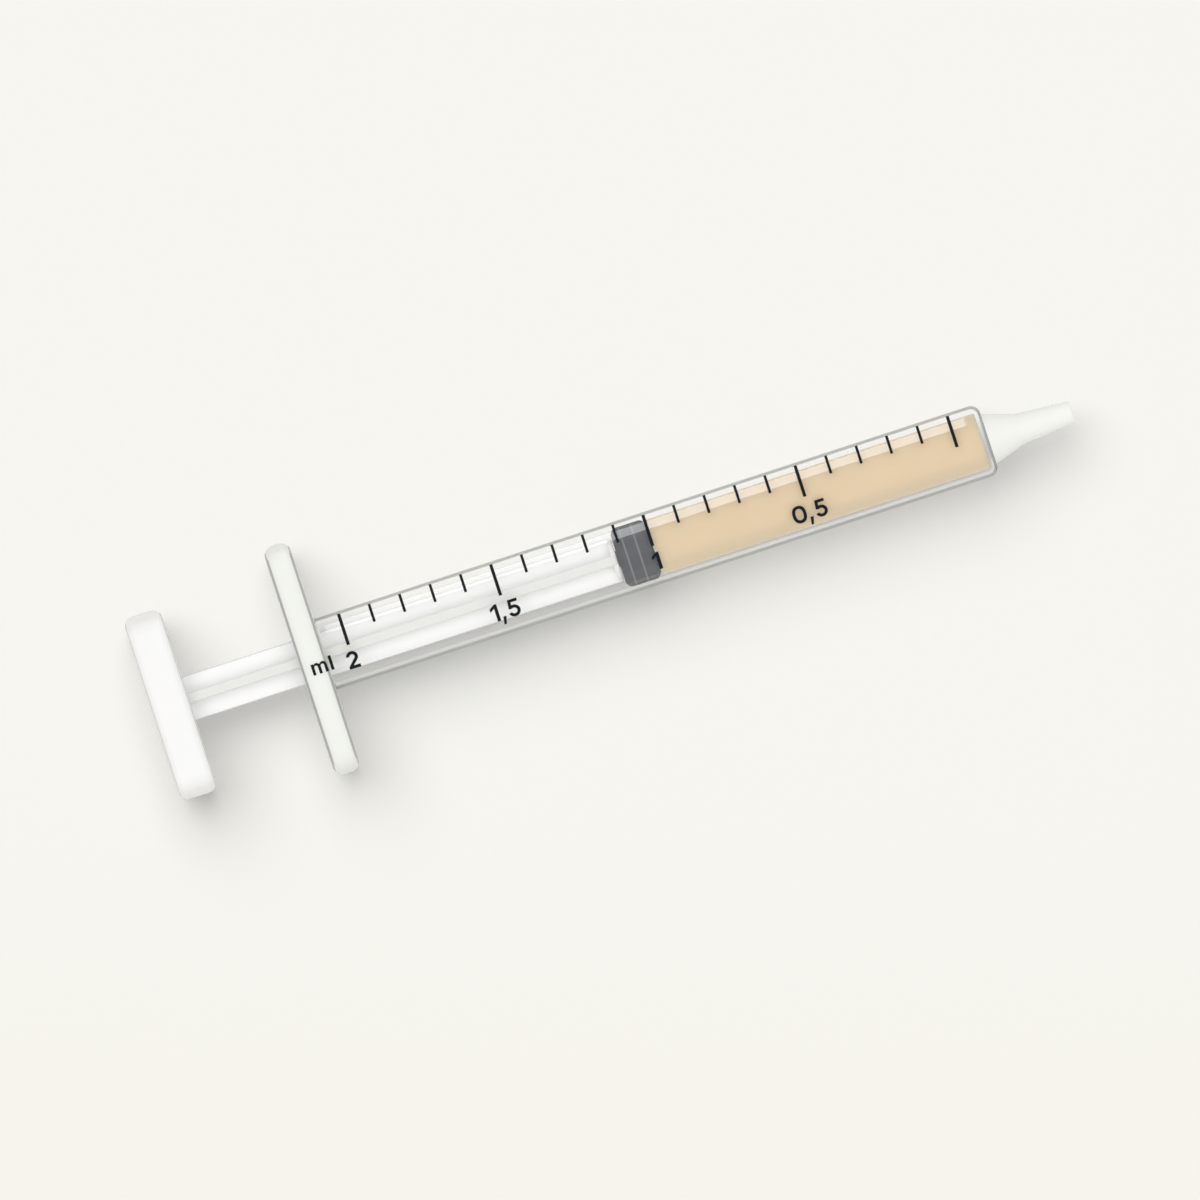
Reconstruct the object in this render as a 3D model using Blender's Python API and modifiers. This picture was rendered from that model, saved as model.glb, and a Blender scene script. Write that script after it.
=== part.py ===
"""A 2 ml medicine syringe that lies on its side and holds a dose of 1 ml.

Metres, +Z up. Each piece is modelled standing up, with the nozzle at the top and the mouth of the
barrel at height 0, and one empty then lays them all along +X. The origin is under the middle of
the syringe, on the surface that it lies on, and +Y runs along the finger flange.
"""

import math

import bmesh
import bpy

MM = 0.001

# Barrel, one moulding with its finger flange and nozzle
BORE_RADIUS = 3.15 * MM
BARREL_WALL = 0.55 * MM
FRONT_WALL = 0.55 * MM
BARREL_LENGTH = 72.55 * MM
FRONT_EDGE_RADIUS = 1.0 * MM
BORE_END_RADIUS = 0.25 * MM
MOUTH_CHAMFER = 0.25 * MM

# Bead inside the mouth, which keeps the stopper from being pulled out
BEAD_HEIGHT = 0.12 * MM
BEAD_WIDTH = 0.7 * MM
BEAD_FROM_MOUTH = 0.9 * MM

# Nozzle, a steep cone and then a slender one
NOZZLE_SETBACK = 0.1 * MM
NOZZLE_NECK_RADIUS = 1.56 * MM
NOZZLE_TIP_RADIUS = 1.14 * MM
NOZZLE_CONE_LENGTH = 3.3 * MM
NOZZLE_TIP_LENGTH = 5.45 * MM
NOZZLE_WALL = 0.55 * MM
NOZZLE_LIP_CHAMFER = 0.12 * MM

# Finger flange, a disc with two flats. The land is what stays level between root and rounded edge.
FLANGE_SPAN = 24.0 * MM
FLANGE_THICKNESS = 2.75 * MM
FLANGE_EDGE_RADIUS = 1.1 * MM
FLANGE_CORNER_RADIUS = 2.0 * MM
FLANGE_ROOT_RADIUS = 0.2 * MM
FLANGE_LAND = 0.05 * MM

# Thumb rest, a bar that is cored from the flange's side
THUMB_SPAN = 19.15 * MM
THUMB_THICKNESS = 3.9 * MM
THUMB_EDGE_RADIUS = 1.0 * MM
THUMB_CORNER_RADIUS = 1.8 * MM
THUMB_RELIEF = 0.2 * MM
THUMB_FACE_WALL = 1.2 * MM
THUMB_RIM_WALL = 1.2 * MM

# Plunger rod, a cross of four ribs with a disc, a neck and a barbed head at its front
ROD_CLEARANCE = 0.875 * MM
RIB_THICKNESS = 0.95 * MM
RIB_ROOT_RADIUS = 0.2 * MM
DISC_SETBACK = 0.15 * MM
DISC_THICKNESS = 0.5 * MM
NECK_RADIUS = 0.85 * MM
HEAD_TAPER = 0.45 * MM

# Rubber stopper, with two sealing lips
STOPPER_LENGTH = 3.7 * MM
STOPPER_EDGE_RADIUS = 0.75 * MM
STOPPER_FRONT_WALL = 1.0 * MM
STOPPER_REAR_WALL = 0.8 * MM
STOPPER_SIDE_WALL = 1.0 * MM
LIP_HEIGHT = 0.06 * MM
LIP_WIDTH = 0.3 * MM
REAR_LIP_INSET = 0.97 * MM
FRONT_LIP_INSET = 1.48 * MM

# Fits
SEAL_CLEARANCE = 0.04 * MM
SEAT_GAP = 0.1 * MM
HEAD_CLEARANCE = 0.2 * MM

# The dose of 1 ml, and how far the plunger is drawn out
DOSE_LENGTH = 34.7 * MM
DOSE_INSET = 0.28 * MM
DRAWN_OUT = 11.55 * MM

# Fineness of the round surfaces, and how far joined shapes and cutters reach past a face
TURN_STEPS = 64
ARC_STEPS = 6
RING_STEPS = 4
EDGE_SEGMENTS = 4
SMOOTH_LIMIT = math.radians(32)
JOIN_DEPTH = 0.02 * MM
CUT_OVERRUN = 1.0 * MM

# Worked out from the sizes above, as radii and as heights over the mouth
BARREL_RADIUS = BORE_RADIUS + BARREL_WALL
BORE_END = BARREL_LENGTH - FRONT_WALL
NOZZLE_BASE_RADIUS = BARREL_RADIUS - FRONT_EDGE_RADIUS - NOZZLE_SETBACK
NECK_HEIGHT = BARREL_LENGTH + NOZZLE_CONE_LENGTH
TIP_HEIGHT = NECK_HEIGHT + NOZZLE_TIP_LENGTH
FLANGE_HALF_WIDTH = BARREL_RADIUS + FLANGE_ROOT_RADIUS + FLANGE_LAND + FLANGE_EDGE_RADIUS
THUMB_HALF_WIDTH = FLANGE_HALF_WIDTH - THUMB_RELIEF
THUMB_FRONT = -DRAWN_OUT
THUMB_REAR = THUMB_FRONT - THUMB_THICKNESS
ROD_REACH = BORE_RADIUS - ROD_CLEARANCE
STOPPER_FRONT = BORE_END - DOSE_LENGTH
STOPPER_REAR = STOPPER_FRONT - STOPPER_LENGTH
LIP_RADIUS = BORE_RADIUS - SEAL_CLEARANCE
STOPPER_RADIUS = LIP_RADIUS - LIP_HEIGHT
CHAMBER_RADIUS = STOPPER_RADIUS - STOPPER_SIDE_WALL
ROD_FRONT = STOPPER_REAR - SEAT_GAP
MIDDLE = (THUMB_REAR + TIP_HEIGHT) / 2


def clear_scene():
    for old in list(bpy.data.objects):
        bpy.data.objects.remove(old)


def new_collection(name):
    made = bpy.data.collections.new(name)
    bpy.context.scene.collection.children.link(made)
    return made


def moulded(name, colour, roughness, transmission=0.0):
    """A material with the colour of the plastic, rubber or liquid."""
    material = bpy.data.materials.new(name)
    material.use_nodes = True
    shader = material.node_tree.nodes["Principled BSDF"]
    shader.inputs["Base Color"].default_value = (*colour, 1.0)
    shader.inputs["Roughness"].default_value = roughness
    shader.inputs["Metallic"].default_value = 0.0
    shader.inputs["Transmission Weight"].default_value = transmission
    return material


def smooth_by_angle():
    """A node group that shades a mesh smooth, apart from the edges that turn more than a limit."""
    group = bpy.data.node_groups.new("smooth_by_angle", "GeometryNodeTree")
    group.interface.new_socket("Mesh", in_out="INPUT", socket_type="NodeSocketGeometry")
    group.interface.new_socket("Mesh", in_out="OUTPUT", socket_type="NodeSocketGeometry")
    mesh_in = group.nodes.new("NodeGroupInput")
    mesh_out = group.nodes.new("NodeGroupOutput")
    edge_angle = group.nodes.new("GeometryNodeInputMeshEdgeAngle")
    gentle = group.nodes.new("FunctionNodeCompare")
    gentle.operation = "LESS_THAN"
    gentle.inputs["B"].default_value = SMOOTH_LIMIT
    smooth_faces = group.nodes.new("GeometryNodeSetShadeSmooth")
    smooth_edges = group.nodes.new("GeometryNodeSetShadeSmooth")
    smooth_edges.domain = "EDGE"
    link = group.links.new
    link(edge_angle.outputs["Unsigned Angle"], gentle.inputs["A"])
    link(mesh_in.outputs["Mesh"], smooth_faces.inputs["Geometry"])
    link(smooth_faces.outputs["Geometry"], smooth_edges.inputs["Geometry"])
    link(gentle.outputs["Result"], smooth_edges.inputs["Shade Smooth"])
    link(smooth_edges.outputs["Geometry"], mesh_out.inputs["Mesh"])
    return group


def arc(centre_radius, centre_height, radius, start, end):
    """Profile points of an arc, with its angles in degrees from the outward direction."""
    angles = [math.radians(start + (end - start) * i / ARC_STEPS) for i in range(ARC_STEPS + 1)]
    return [
        (centre_radius + radius * math.cos(a), centre_height + radius * math.sin(a))
        for a in angles
    ]


def ring(radius, middle, width, rise):
    """Profile points, from the top down, of a smooth ring on a wall. A negative rise stands inwards."""
    shares = [i / RING_STEPS for i in range(RING_STEPS + 1)]
    return [
        (radius + rise * math.sin(math.pi * share) ** 2, middle + width * (0.5 - share))
        for share in shares
    ]


def add_object(name, mesh, collection, lying):
    made = bpy.data.objects.new(name, mesh)
    collection.objects.link(made)
    made.parent = lying
    return made


def turned(name, profile, collection, lying):
    """A solid turned about the upright axis. Its profile runs from the top down the outer side."""
    mesh = bpy.data.meshes.new(name)
    points = [(radius, 0.0, height) for radius, height in profile]
    mesh.from_pydata(points, [(i, i + 1) for i in range(len(points) - 1)], [])
    made = add_object(name, mesh, collection, lying)
    screw = made.modifiers.new("turn", "SCREW")
    screw.steps = TURN_STEPS
    screw.render_steps = TURN_STEPS
    screw.use_merge_vertices = True
    screw.merge_threshold = 1e-6
    return made


def flat_sided_outline(reach, half_width, corner):
    """Outline, along Y, of a disc with two flats, whose corners are rounded."""
    centre_across = half_width - corner
    centre_along = math.sqrt((reach - corner) ** 2 - centre_across**2)
    turn = math.degrees(math.atan2(centre_across, centre_along))
    near_corner = arc(centre_along, -centre_across, corner, -90, -turn)[:-1]
    end = arc(0.0, 0.0, reach, -turn, turn)
    far_corner = arc(centre_along, centre_across, corner, turn, 90)[1:]
    half = near_corner + end + far_corner
    return [(across, along) for along, across in half + [(-x, -y) for x, y in half]]


def cross_outline(reach, thickness, root):
    """Outline of a cross of four ribs, with its inner corners rounded."""
    edge = thickness / 2
    inner = edge + root
    quarter = [(reach, -edge), (reach, edge)] + arc(inner, inner, root, 270, 180)
    points = []
    for corner in range(4):
        angle = corner * math.pi / 2
        along, across = math.cos(angle), math.sin(angle)
        points += [(x * along - y * across, x * across + y * along) for x, y in quarter]
    return points


def plate(name, outline, bottom, top, collection, lying, edge_radius=0.0):
    """A flat plate of this outline between two heights. Its edges are rounded where a radius is given."""
    curve = bpy.data.curves.new(name, "CURVE")
    curve.dimensions = "2D"
    curve.fill_mode = "BOTH"
    curve.extrude = (top - bottom) / 2
    spline = curve.splines.new("POLY")
    spline.points.add(len(outline) - 1)
    for point, (x, y) in zip(spline.points, outline):
        point.co = (x, y, 0.0, 1.0)
    spline.use_cyclic_u = True
    drawn = bpy.data.objects.new(name, curve)
    collection.objects.link(drawn)
    mesh = bpy.data.meshes.new_from_object(drawn.evaluated_get(bpy.context.evaluated_depsgraph_get()))
    bpy.data.objects.remove(drawn)

    shape = bmesh.new()
    shape.from_mesh(mesh)
    bmesh.ops.remove_doubles(shape, verts=shape.verts, dist=1e-6)
    bmesh.ops.dissolve_limit(shape, angle_limit=math.radians(1), verts=shape.verts, edges=shape.edges)
    bmesh.ops.translate(shape, verts=shape.verts, vec=(0.0, 0.0, (top + bottom) / 2))
    shape.to_mesh(mesh)
    shape.free()

    made = add_object(name, mesh, collection, lying)
    if edge_radius:
        bevel = made.modifiers.new("edge", "BEVEL")
        bevel.limit_method = "ANGLE"
        bevel.angle_limit = math.radians(60)
        bevel.width = edge_radius
        bevel.segments = EDGE_SEGMENTS
    return made


def combine(target, other, operation):
    """Joins a helper to the target, or cuts the target with it. The helper itself isn't shown."""
    boolean = target.modifiers.new(f"{operation.lower()}_{other.name}", "BOOLEAN")
    boolean.operation = operation
    boolean.object = other
    other.hide_render = True
    other.display_type = "WIRE"


def build_barrel(parts, cutters, lying):
    collar = BARREL_RADIUS + FLANGE_ROOT_RADIUS
    root_height = FLANGE_THICKNESS + FLANGE_ROOT_RADIUS - JOIN_DEPTH
    edge_centre = (BARREL_RADIUS - FRONT_EDGE_RADIUS, BARREL_LENGTH - FRONT_EDGE_RADIUS)
    outside = [
        (0.0, TIP_HEIGHT),
        (NOZZLE_TIP_RADIUS - NOZZLE_LIP_CHAMFER, TIP_HEIGHT),
        (NOZZLE_TIP_RADIUS, TIP_HEIGHT - NOZZLE_LIP_CHAMFER),
        (NOZZLE_NECK_RADIUS, NECK_HEIGHT),
        (NOZZLE_BASE_RADIUS, BARREL_LENGTH),
        *arc(*edge_centre, FRONT_EDGE_RADIUS, 90, 0),
        *arc(collar, root_height, FLANGE_ROOT_RADIUS, 180, 270),
        (collar, FLANGE_THICKNESS / 2),
        (0.0, FLANGE_THICKNESS / 2),
    ]
    barrel = turned("barrel", outside, parts, lying)

    outline = flat_sided_outline(FLANGE_SPAN / 2, FLANGE_HALF_WIDTH, FLANGE_CORNER_RADIUS)
    flange = plate("finger_flange", outline, 0.0, FLANGE_THICKNESS, cutters, lying, FLANGE_EDGE_RADIUS)
    combine(barrel, flange, "UNION")

    end_centre = (BORE_RADIUS - BORE_END_RADIUS, BORE_END - BORE_END_RADIUS)
    inside = [
        (0.0, TIP_HEIGHT + CUT_OVERRUN),
        (NOZZLE_TIP_RADIUS - NOZZLE_WALL, TIP_HEIGHT + CUT_OVERRUN),
        (NOZZLE_TIP_RADIUS - NOZZLE_WALL, TIP_HEIGHT),
        (NOZZLE_NECK_RADIUS - NOZZLE_WALL, NECK_HEIGHT),
        (NOZZLE_BASE_RADIUS - NOZZLE_WALL, BORE_END),
        *arc(*end_centre, BORE_END_RADIUS, 90, 0),
        *ring(BORE_RADIUS, BEAD_FROM_MOUTH, BEAD_WIDTH, -BEAD_HEIGHT),
        (BORE_RADIUS, MOUTH_CHAMFER),
        (BORE_RADIUS + MOUTH_CHAMFER + CUT_OVERRUN, -CUT_OVERRUN),
        (0.0, -CUT_OVERRUN),
    ]
    combine(barrel, turned("bore", inside, cutters, lying), "DIFFERENCE")
    return barrel


def build_plunger_rod(parts, cutters, lying):
    outline = flat_sided_outline(THUMB_SPAN / 2, THUMB_HALF_WIDTH, THUMB_CORNER_RADIUS)
    thumb_rest = plate("plunger_rod", outline, THUMB_REAR, THUMB_FRONT, parts, lying, THUMB_EDGE_RADIUS)

    core_outline = flat_sided_outline(
        THUMB_SPAN / 2 - THUMB_RIM_WALL,
        THUMB_HALF_WIDTH - THUMB_RIM_WALL,
        max(THUMB_CORNER_RADIUS - THUMB_RIM_WALL, RIB_ROOT_RADIUS),
    )
    core_floor = THUMB_REAR + THUMB_FACE_WALL
    core = plate("thumb_core", core_outline, core_floor, THUMB_FRONT + CUT_OVERRUN, cutters, lying)
    combine(thumb_rest, core, "DIFFERENCE")

    cross = cross_outline(ROD_REACH, RIB_THICKNESS, RIB_ROOT_RADIUS)
    rib_rear = THUMB_REAR + THUMB_FACE_WALL / 2
    rib_front = ROD_FRONT - DISC_THICKNESS / 2
    ribs = plate("rod_ribs", cross, rib_rear, rib_front, cutters, lying)
    combine(thumb_rest, ribs, "UNION")

    head_rear = STOPPER_REAR + STOPPER_REAR_WALL + HEAD_CLEARANCE
    head_front = STOPPER_FRONT - STOPPER_FRONT_WALL - HEAD_CLEARANCE
    head_radius = CHAMBER_RADIUS - HEAD_CLEARANCE
    disc_radius = ROD_REACH - DISC_SETBACK
    front = [
        (0.0, head_front),
        (head_radius - HEAD_TAPER, head_front),
        (head_radius, (head_front + head_rear) / 2),
        (head_radius, head_rear),
        (NECK_RADIUS, head_rear),
        (NECK_RADIUS, ROD_FRONT),
        (disc_radius, ROD_FRONT),
        (disc_radius, ROD_FRONT - DISC_THICKNESS),
        (0.0, ROD_FRONT - DISC_THICKNESS),
    ]
    combine(thumb_rest, turned("rod_head", front, cutters, lying), "UNION")
    return thumb_rest


def build_stopper(parts, lying):
    neck_hole = NECK_RADIUS + HEAD_CLEARANCE
    edge = STOPPER_EDGE_RADIUS
    profile = [
        (0.0, STOPPER_FRONT),
        *arc(STOPPER_RADIUS - edge, STOPPER_FRONT - edge, edge, 90, 0),
        *ring(STOPPER_RADIUS, STOPPER_FRONT - FRONT_LIP_INSET, LIP_WIDTH, LIP_HEIGHT),
        *ring(STOPPER_RADIUS, STOPPER_REAR + REAR_LIP_INSET, LIP_WIDTH, LIP_HEIGHT),
        *arc(STOPPER_RADIUS - edge, STOPPER_REAR + edge, edge, 0, -90),
        (neck_hole, STOPPER_REAR),
        (neck_hole, STOPPER_REAR + STOPPER_REAR_WALL),
        (CHAMBER_RADIUS, STOPPER_REAR + STOPPER_REAR_WALL),
        (CHAMBER_RADIUS, STOPPER_FRONT - STOPPER_FRONT_WALL),
        (0.0, STOPPER_FRONT - STOPPER_FRONT_WALL),
    ]
    return turned("stopper", profile, parts, lying)


def build_dose(parts, lying):
    radius = BORE_RADIUS - DOSE_INSET
    front = BORE_END - SEAT_GAP
    rear = STOPPER_FRONT + SEAT_GAP
    profile = [
        (0.0, front),
        *arc(radius - BORE_END_RADIUS, front - BORE_END_RADIUS, BORE_END_RADIUS, 90, 0),
        (radius, rear),
        (0.0, rear),
    ]
    return turned("liquid_dose", profile, parts, lying)


def main():
    clear_scene()
    parts = new_collection("syringe")
    cutters = new_collection("cutters")

    # The upright axis is laid towards +X, with the lower flat on the surface.
    lying = bpy.data.objects.new("lying", None)
    parts.objects.link(lying)
    lying.rotation_euler = (0.0, math.radians(90), 0.0)
    lying.location = (-MIDDLE, 0.0, max(FLANGE_HALF_WIDTH, THUMB_HALF_WIDTH))

    finished = {
        build_barrel(parts, cutters, lying): moulded("clear_plastic", (0.90, 0.91, 0.88), 0.12, 0.8),
        build_plunger_rod(parts, cutters, lying): moulded("white_plastic", (0.95, 0.95, 0.94), 0.35),
        build_stopper(parts, lying): moulded("grey_rubber", (0.145, 0.147, 0.159), 0.55),
        build_dose(parts, lying): moulded("tan_liquid", (0.76, 0.61, 0.42), 0.25),
    }
    shading = smooth_by_angle()
    for piece, material in finished.items():
        piece.data.materials.append(material)
        piece.modifiers.new("shading", "NODES").node_group = shading


main()
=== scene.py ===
import math

import bmesh
import bpy
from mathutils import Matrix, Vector


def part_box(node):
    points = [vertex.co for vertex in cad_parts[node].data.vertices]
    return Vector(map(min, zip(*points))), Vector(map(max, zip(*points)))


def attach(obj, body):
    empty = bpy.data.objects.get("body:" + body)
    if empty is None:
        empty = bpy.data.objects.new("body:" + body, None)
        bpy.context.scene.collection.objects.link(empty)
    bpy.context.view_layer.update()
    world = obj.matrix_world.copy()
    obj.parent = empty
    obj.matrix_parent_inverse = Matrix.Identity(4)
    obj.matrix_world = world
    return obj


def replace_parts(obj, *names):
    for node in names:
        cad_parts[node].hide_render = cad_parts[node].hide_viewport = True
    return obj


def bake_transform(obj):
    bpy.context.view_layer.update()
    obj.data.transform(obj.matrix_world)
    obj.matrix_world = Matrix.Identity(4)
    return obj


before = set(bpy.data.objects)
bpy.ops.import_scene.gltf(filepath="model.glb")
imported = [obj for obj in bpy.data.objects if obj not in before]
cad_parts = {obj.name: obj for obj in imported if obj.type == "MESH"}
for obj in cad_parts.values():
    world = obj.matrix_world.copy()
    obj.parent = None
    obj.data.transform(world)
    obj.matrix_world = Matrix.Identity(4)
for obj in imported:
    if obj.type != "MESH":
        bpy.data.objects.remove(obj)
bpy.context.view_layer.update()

MM = 0.001

# What the frame gives: the axis runs along +X at y = 0
barrel_low, barrel_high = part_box("barrel")
rod_low, rod_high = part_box("plunger_rod")
stopper_low, stopper_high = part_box("stopper")
dose_low, dose_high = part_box("liquid_dose")
AXIS_HEIGHT = (barrel_low.z + barrel_high.z) / 2
MOUTH = barrel_low.x
NOZZLE_TIP = barrel_high.x
FLANGE_REACH = barrel_high.y
FLANGE_HALF_WIDTH = (barrel_high.z - barrel_low.z) / 2
THUMB_REAR = rod_low.x
THUMB_REACH = rod_high.y
THUMB_HALF_WIDTH = (rod_high.z - rod_low.z) / 2
HEAD_FRONT = rod_high.x
STOPPER_REAR = stopper_low.x
STOPPER_FRONT = stopper_high.x
LIP_RADIUS = stopper_high.y
DOSE_REAR = dose_low.x
DOSE_FRONT = dose_high.x
DOSE_RADIUS = dose_high.y

# Barrel
BARREL_LENGTH = 72.55 * MM
BORE_RADIUS = 3.15 * MM
BARREL_RADIUS = 3.7 * MM
FRONT_WALL = 0.55 * MM
FRONT_EDGE_RADIUS = 1.0 * MM
BORE_END_RADIUS = 0.25 * MM
MOUTH_CHAMFER = 0.25 * MM
BEAD_HEIGHT = 0.12 * MM
BEAD_WIDTH = 0.7 * MM
BEAD_FROM_MOUTH = 0.9 * MM
BARREL_FRONT = MOUTH + BARREL_LENGTH
BORE_END = BARREL_FRONT - FRONT_WALL

# Nozzle, a steep cone and then a slender one
NOZZLE_NECK_RADIUS = 1.56 * MM
NOZZLE_TIP_RADIUS = 1.14 * MM
NOZZLE_CONE_LENGTH = 3.3 * MM
NOZZLE_WALL = 0.55 * MM
NOZZLE_LIP = 0.12 * MM
NOZZLE_NECK_RELIEF = 0.06 * MM
NOZZLE_BASE_INSET = 0.1 * MM
NOZZLE_BASE_RADIUS = BARREL_RADIUS - FRONT_EDGE_RADIUS - NOZZLE_BASE_INSET
NOZZLE_NECK = BARREL_FRONT + NOZZLE_CONE_LENGTH

# Finger flange
FLANGE_THICKNESS = 2.75 * MM
FLANGE_EDGE_RADIUS = 1.1 * MM
FLANGE_CORNER_RADIUS = 2.0 * MM
FLANGE_ROOT_RADIUS = 0.2 * MM
FLANGE_FRONT = MOUTH + FLANGE_THICKNESS

# Plunger rod
THUMB_THICKNESS = 3.9 * MM
THUMB_EDGE_RADIUS = 1.0 * MM
THUMB_CORNER_RADIUS = 1.8 * MM
THUMB_WALL = 1.2 * MM
THUMB_CORE_EDGE = 0.3 * MM
ROD_REACH = 2.275 * MM
RIB_THICKNESS = 0.95 * MM
RIB_ROOT_RADIUS = 0.2 * MM
RIB_EDGE_RADII = (0.2 * MM, 0.08 * MM)
DISC_RADIUS = 2.125 * MM
DISC_THICKNESS = 0.5 * MM
DISC_EDGE_RADIUS = 0.08 * MM
NECK_RADIUS = 0.85 * MM
HEAD_RADIUS = 1.85 * MM
HEAD_TAPER = 0.45 * MM
HEAD_FROM_SEAT = 1.0 * MM
SEAT_GAP = 0.1 * MM
THUMB_FRONT = THUMB_REAR + THUMB_THICKNESS
DISC_FRONT = STOPPER_REAR - SEAT_GAP
HEAD_REAR = STOPPER_REAR + HEAD_FROM_SEAT
RIBS_REAR = THUMB_REAR + THUMB_WALL / 2
RIBS_FRONT = DISC_FRONT - 1.5 * DISC_EDGE_RADIUS

# Stopper
STOPPER_EDGE_RADIUS = 0.75 * MM
STOPPER_REAR_WALL = 0.8 * MM
STOPPER_FRONT_WALL = 1.0 * MM
STOPPER_SIDE_WALL = 1.0 * MM
STOPPER_NECK_HOLE = 1.05 * MM
LIP_HEIGHT = 0.03 * MM
LIP_WIDTH = 0.3 * MM
REAR_LIP_INSET = 0.97 * MM
FRONT_LIP_INSET = 1.48 * MM
STOPPER_RADIUS = LIP_RADIUS - LIP_HEIGHT

# Dose
DOSE_EDGE_RADIUS = 0.1 * MM

# Printed scale, 0 to 2 ml. Places across the barrel are measured as seen from above.
MARK_PITCH = 3.2 * MM
MARK_COUNT = 21
MARKS_PER_NUMBER = 5
ONE_ML_MARK = STOPPER_FRONT
ZERO_MARK = ONE_ML_MARK + 10 * MARK_PITCH
MARK_START = 3.425 * MM
SHORT_MARK_END = 1.575 * MM
LONG_MARK_END = 0.175 * MM
SHORT_MARK_WIDTH = 0.28 * MM
LONG_MARK_WIDTH = 0.33 * MM
DIGIT_BASELINE = -2.25 * MM
UNIT_START = -31.875 * MM
UNIT_BASELINE = -1.7 * MM
INK_THICKNESS = 0.012 * MM
INK_DEPTH = 0.003 * MM
INK_STRIP = 0.12 * MM

# Fineness
TURN_STEPS = 128
ARC_STEPS = 12
EDGE_SEGMENTS = 10
SHARP_ANGLE = math.radians(32)
MERGE_DISTANCE = 1e-7
JOIN_DEPTH = 0.002 * MM
CUT_OVERRUN = 0.5 * MM
CORE_OVERRUN = 1.0 * MM
INK_CUT_TOLERANCE = 1e-8
ZONE_MARGIN = 0.01 * MM
RIB_ZONE_START = 0.5 * MM
RIB_SIDE_FLAT = 0.99

# Camera, straight down, at the photograph's turn and frame
PHOTO_TURN = math.radians(18)
VIEW_CENTRE = (-2.32 * MM, -3.33 * MM)
VIEW_WIDTH = 120 * MM
CAMERA_HEIGHT = 0.4


# Outlines and profiles

def arc(centre, radius, start, end, steps=ARC_STEPS):
    """Points of an arc. Its angles are in degrees from the first coordinate's direction."""
    angles = [math.radians(start + (end - start) * i / steps) for i in range(steps + 1)]
    return [(centre[0] + radius * math.cos(a), centre[1] + radius * math.sin(a)) for a in angles]


def oval(centre, radii, start, end, steps=ARC_STEPS, squareness=2.0):
    """Points of part of an oval. With a squareness over 2 its corners fill out."""
    points = []
    for i in range(steps + 1):
        a = math.radians(start + (end - start) * i / steps)
        across = math.copysign(abs(math.cos(a)) ** (2 / squareness), math.cos(a))
        along = math.copysign(abs(math.sin(a)) ** (2 / squareness), math.sin(a))
        points.append((centre[0] + radii[0] * across, centre[1] + radii[1] * along))
    return points


def ring(middle, radius, width, rise, steps=8):
    """Profile points, towards -X, of a smooth ring on a wall. A negative rise stands inwards."""
    shares = [i / steps for i in range(steps + 1)]
    return [
        (middle + width * (0.5 - share), radius + rise * math.sin(math.pi * share) ** 2)
        for share in shares
    ]


def flat_sided_outline(reach, half_width, corner):
    """Outline, along Y, of a disc with two flats, whose corners are rounded."""
    centre_across = half_width - corner
    centre_along = math.sqrt((reach - corner) ** 2 - centre_across**2)
    turn = math.degrees(math.atan2(centre_across, centre_along))
    near_corner = arc((centre_along, -centre_across), corner, -90, -turn)[:-1]
    end = arc((0.0, 0.0), reach, -turn, turn)
    far_corner = arc((centre_along, centre_across), corner, turn, 90)[1:]
    half = near_corner + end + far_corner
    return half + [(-y, -z) for y, z in half]


def cross_outline(reach, thickness, root, edges):
    """Outline of a cross of four ribs, with rounded roots and edges. The edges' two radii are for the ribs
    along y and along z."""
    half = thickness / 2
    inner = half + root
    points = []
    for rib in range(4):
        edge = edges[rib % 2]
        quarter = (
            arc((reach - edge, -half + edge), edge, -90, 0, 5)
            + arc((reach - edge, half - edge), edge, 0, 90, 5)
            + arc((inner, inner), root, 270, 180, 6)
        )
        along, across = math.cos(rib * math.pi / 2), math.sin(rib * math.pi / 2)
        points += [(y * along - z * across, y * across + z * along) for y, z in quarter]
    return points


# Meshes

def new_object(name, shape):
    """Makes an object from a bmesh, shaded smooth apart from its sharp edges."""
    bmesh.ops.recalc_face_normals(shape, faces=shape.faces)
    mesh = bpy.data.meshes.new(name)
    shape.to_mesh(mesh)
    shape.free()
    made = bpy.data.objects.new(name, mesh)
    pieces.objects.link(made)
    return made


def smoothed(piece):
    """Shades a piece smooth, apart from its sharp edges, and keeps its flat faces flat."""
    piece.data.shade_smooth()
    piece.data.set_sharp_from_angle(angle=SHARP_ANGLE)
    even = piece.modifiers.new("flat_faces_stay_flat", "WEIGHTED_NORMAL")
    even.keep_sharp = True
    even.weight = 100
    return piece


def merge_flat_ends(shape):
    """Makes each flat end that a turned shape has on its axis one face, so that it can be cut cleanly."""
    for centre in [v for v in shape.verts if math.hypot(v.co.y, v.co.z) < MERGE_DISTANCE]:
        fan = list(centre.link_faces)
        if all(abs(v.co.x - centre.co.x) < MERGE_DISTANCE for face in fan for v in face.verts):
            bmesh.ops.dissolve_faces(shape, faces=fan, use_verts=True)


def turned(name, profile):
    """A solid turned about the syringe's axis, from (x, radius) points that start and end on the axis."""
    shape = bmesh.new()
    rim = [shape.verts.new((x, 0.0, radius)) for x, radius in profile]
    edges = [shape.edges.new(pair) for pair in zip(rim, rim[1:])]
    bmesh.ops.spin(
        shape, geom=rim + edges, cent=(0, 0, 0), axis=(1, 0, 0), angle=math.tau, steps=TURN_STEPS,
        use_merge=True,
    )
    bmesh.ops.remove_doubles(shape, verts=shape.verts, dist=MERGE_DISTANCE)
    merge_flat_ends(shape)
    bmesh.ops.translate(shape, verts=shape.verts, vec=(0.0, 0.0, AXIS_HEIGHT))
    return new_object(name, shape)


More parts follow.
